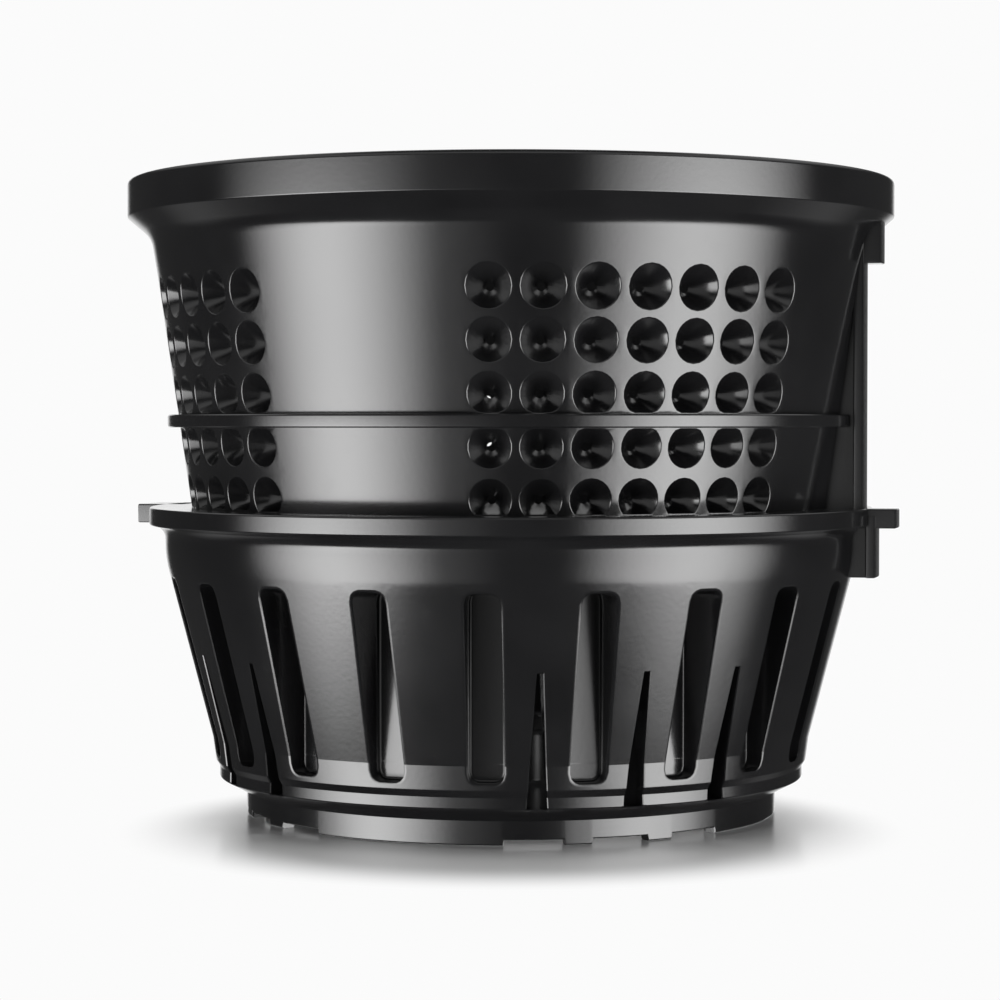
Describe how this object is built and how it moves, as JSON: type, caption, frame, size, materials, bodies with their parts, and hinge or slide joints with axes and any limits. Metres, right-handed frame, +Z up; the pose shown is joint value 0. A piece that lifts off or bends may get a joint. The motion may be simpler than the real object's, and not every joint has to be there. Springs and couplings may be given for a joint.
{
  "type": "juicer mesh screen",
  "caption": "Cup-shaped strainer for a slow juicer: tapered wall with panels of conical holes, flange with lugs, and a lower bowl with pockets, wedge slits and a base ring.",
  "frame": {"origin": "centre of the base ring's underside, on the axis of the drive bore", "axes": "+Z up along the drive bore, +X through the key rail on the wall"},
  "size_m": [0.1222, 0.12, 0.0985],
  "materials": {
    "black_plastic": "gloss"
  },
  "bodies": {
    "root": {"screen_body": "black_plastic"}
  },
  "joints": []
}
